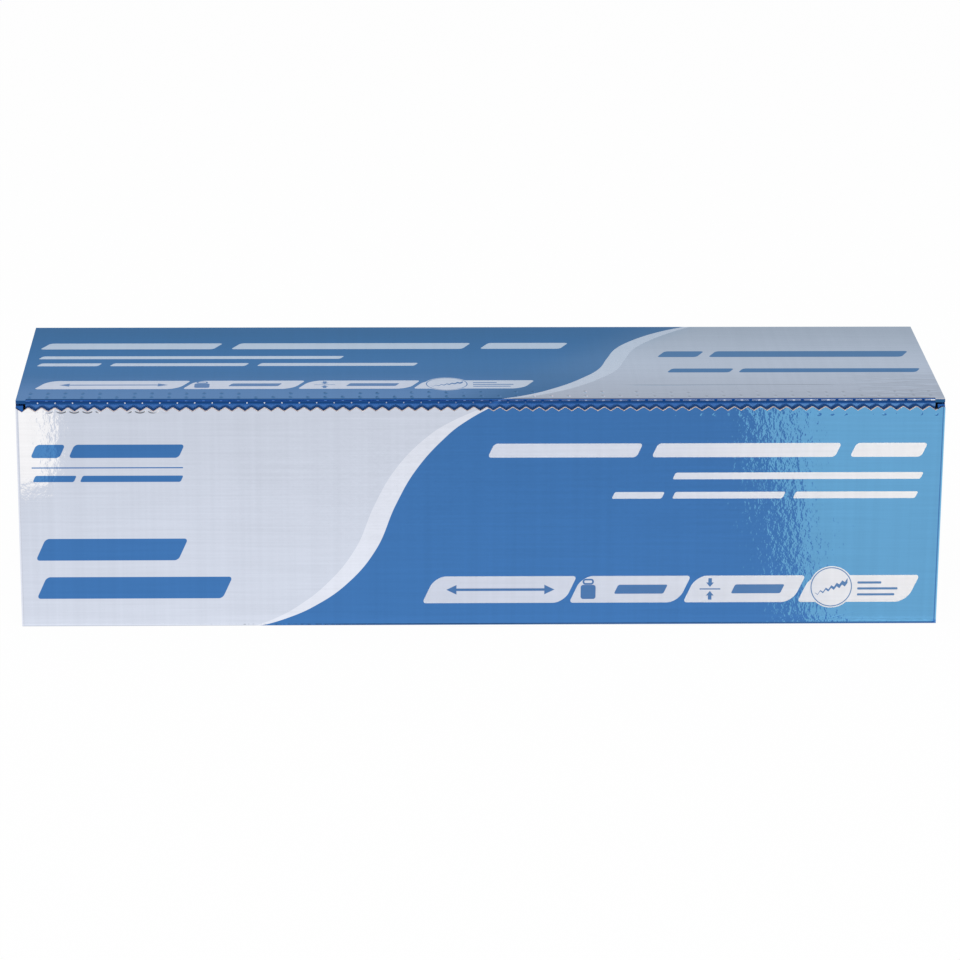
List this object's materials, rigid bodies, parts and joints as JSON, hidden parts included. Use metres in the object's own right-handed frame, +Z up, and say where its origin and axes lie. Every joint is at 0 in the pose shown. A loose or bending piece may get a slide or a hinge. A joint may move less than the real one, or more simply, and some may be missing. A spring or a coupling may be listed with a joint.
{
  "type": "boxed aluminium foil roll",
  "caption": "Roll of catering foil on a paperboard core in a long cutter carton, with a zigzag cutting edge along the front and a hinged lid whose tuck flap goes in behind it.",
  "frame": {"origin": "middle of the carton's footprint, on the surface that it stands on", "axes": "+X along the roll, to the right seen from the front; +Y from the printed front to the back; +Z up"},
  "size_m": [0.305, 0.089, 0.078],
  "materials": {
    "metallised_board": "glossy metallised film on board",
    "foil": "bright rolled foil",
    "core_board": "matt spiral-wound paperboard"
  },
  "bodies": {
    "tray": {"carton_tray": "metallised_board", "foil_roll": "foil", "core_tube": "core_board"},
    "lid": {"carton_lid": "metallised_board"}
  },
  "joints": [
    {"name": "lid_hinge", "type": "hinge", "parent": "tray", "child": "lid", "pos_m": [0, 0.0445, 0.078], "axis": [-1, 0, 0], "range_deg": [0, 180]}
  ]
}
